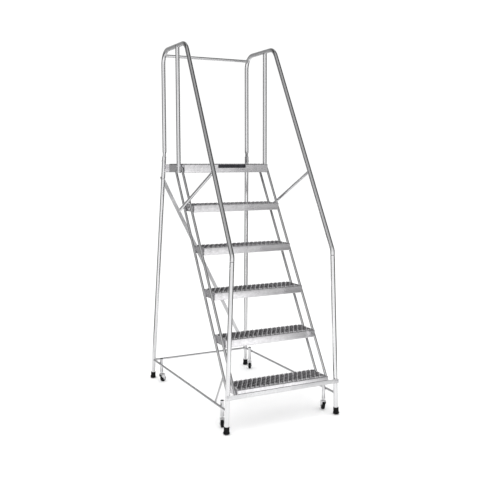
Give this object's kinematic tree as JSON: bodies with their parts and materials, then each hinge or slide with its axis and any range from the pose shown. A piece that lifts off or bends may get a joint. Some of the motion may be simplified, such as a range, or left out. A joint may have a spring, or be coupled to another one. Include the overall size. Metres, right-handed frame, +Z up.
{
  "type": "mobile ladder stand",
  "caption": "Rolling tubular ladder stand with grip-strut steps, a top platform inside guard rails, rubber tips and spring-loaded swivel casters that let the tips down under load.",
  "frame": {"origin": "on the floor below the middle of the base", "axes": "+Z up; +Y is the way the climber faces, from the lowest step to the platform; +X is the climber's right"},
  "size_m": [0.7804, 1.2658, 2.286],
  "materials": {
    "polished_tube": "bright polished steel tube",
    "satin_bar": "satin steel bar and small tube",
    "grip_tread": "satin steel grip-strut sheet with serrated openings",
    "zinc_hardware": "bright zinc plated fittings",
    "spring_steel": "oiled spring wire",
    "rubber_tip": "matt black moulded rubber",
    "wheel_black": "black moulded rubber wheel"
  },
  "bodies": {
    "frame": {"left_handrail": "polished_tube", "left_front_leg": "polished_tube", "left_rear_leg": "polished_tube", "left_mid_post": "polished_tube", "left_front_stringer": "polished_tube", "left_rear_stringer": "polished_tube", "left_handrail_brace": "polished_tube", "left_base_rail": "satin_bar", "left_base_strut": "satin_bar", "left_front_tip": "rubber_tip", "left_rear_tip": "rubber_tip", "left_front_bar_bolt": "zinc_hardware", "left_diagonal_bolt": "zinc_hardware", "right_handrail": "polished_tube", "right_front_leg": "polished_tube", "right_rear_leg": "polished_tube", "right_mid_post": "polished_tube", "right_front_stringer": "polished_tube", "right_rear_stringer": "polished_tube", "right_handrail_brace": "polished_tube", "right_base_rail": "satin_bar", "right_base_strut": "satin_bar", "right_front_tip": "rubber_tip", "right_rear_tip": "rubber_tip", "right_front_bar_bolt": "zinc_hardware", "right_diagonal_bolt": "zinc_hardware", "rear_guard_rail": "polished_tube", "rear_cross_bar": "satin_bar", "front_cross_bar": "satin_bar", "rear_diagonal_brace": "satin_bar", "tread_1": "grip_tread", "tread_2": "grip_tread", "tread_3": "grip_tread", "tread_4": "grip_tread", "tread_5": "grip_tread", "platform": "grip_tread", "front_left_caster_housing": "zinc_hardware", "front_left_caster_spring": "spring_steel", "front_right_caster_housing": "zinc_hardware", "front_right_caster_spring": "spring_steel", "rear_left_caster_housing": "zinc_hardware", "rear_left_caster_spring": "spring_steel", "rear_right_caster_housing": "zinc_hardware", "rear_right_caster_spring": "spring_steel"},
    "front_left_plunger": {"front_left_caster_plunger": "zinc_hardware"},
    "front_left_fork": {"front_left_caster_fork": "zinc_hardware", "front_left_caster_axle": "zinc_hardware"},
    "front_left_wheel": {"front_left_caster_wheel": "wheel_black"},
    "front_right_plunger": {"front_right_caster_plunger": "zinc_hardware"},
    "front_right_fork": {"front_right_caster_fork": "zinc_hardware", "front_right_caster_axle": "zinc_hardware"},
    "front_right_wheel": {"front_right_caster_wheel": "wheel_black"},
    "rear_left_plunger": {"rear_left_caster_plunger": "zinc_hardware"},
    "rear_left_fork": {"rear_left_caster_fork": "zinc_hardware", "rear_left_caster_axle": "zinc_hardware"},
    "rear_left_wheel": {"rear_left_caster_wheel": "wheel_black"},
    "rear_right_plunger": {"rear_right_caster_plunger": "zinc_hardware"},
    "rear_right_fork": {"rear_right_caster_fork": "zinc_hardware", "rear_right_caster_axle": "zinc_hardware"},
    "rear_right_wheel": {"rear_right_caster_wheel": "wheel_black"}
  },
  "joints": [
    {"name": "front_left_caster_spring_travel", "type": "slide", "parent": "frame", "child": "front_left_plunger", "axis": [0, 0, 1], "range_m": [0, 0.008], "stiffness_N_per_m": 5000, "springref_m": -0.026, "deforming": ["front_left_caster_spring"]},
    {"name": "front_left_caster_swivel", "type": "hinge", "parent": "front_left_plunger", "child": "front_left_fork", "pos_m": [-0.34744, -0.5085, 0.06], "axis": [0, 0, 1], "continuous": true},
    {"name": "front_left_caster_wheel_spin", "type": "hinge", "parent": "front_left_fork", "child": "front_left_wheel", "pos_m": [-0.34257, -0.49645, 0.022], "axis": [0.9272, -0.3746, 0], "continuous": true},
    {"name": "front_right_caster_spring_travel", "type": "slide", "parent": "frame", "child": "front_right_plunger", "axis": [0, 0, 1], "range_m": [0, 0.008], "stiffness_N_per_m": 5000, "springref_m": -0.026, "deforming": ["front_right_caster_spring"]},
    {"name": "front_right_caster_swivel", "type": "hinge", "parent": "front_right_plunger", "child": "front_right_fork", "pos_m": [0.34744, -0.5085, 0.06], "axis": [0, 0, 1], "continuous": true},
    {"name": "front_right_caster_wheel_spin", "type": "hinge", "parent": "front_right_fork", "child": "front_right_wheel", "pos_m": [0.3508, -0.49594, 0.022], "axis": [0.9659, -0.2588, 0], "continuous": true},
    {"name": "rear_left_caster_spring_travel", "type": "slide", "parent": "frame", "child": "rear_left_plunger", "axis": [0, 0, 1], "range_m": [0, 0.008], "stiffness_N_per_m": 5000, "springref_m": -0.026, "deforming": ["rear_left_caster_spring"]},
    {"name": "rear_left_caster_swivel", "type": "hinge", "parent": "rear_left_plunger", "child": "rear_left_fork", "pos_m": [-0.34783, 0.4955, 0.06], "axis": [0, 0, 1], "continuous": true},
    {"name": "rear_left_caster_wheel_spin", "type": "hinge", "parent": "rear_left_fork", "child": "rear_left_wheel", "pos_m": [-0.33636, 0.5016, 0.022], "axis": [0.4695, -0.8829, 0], "continuous": true},
    {"name": "rear_right_caster_spring_travel", "type": "slide", "parent": "frame", "child": "rear_right_plunger", "axis": [0, 0, 1], "range_m": [0, 0.008], "stiffness_N_per_m": 5000, "springref_m": -0.026, "deforming": ["rear_right_caster_spring"]},
    {"name": "rear_right_caster_swivel", "type": "hinge", "parent": "rear_right_plunger", "child": "rear_right_fork", "pos_m": [0.34783, 0.4955, 0.06], "axis": [0, 0, 1], "continuous": true},
    {"name": "rear_right_caster_wheel_spin", "type": "hinge", "parent": "rear_right_fork", "child": "rear_right_wheel", "pos_m": [0.35333, 0.50728, 0.022], "axis": [0.9063, -0.4226, 0], "continuous": true}
  ]
}
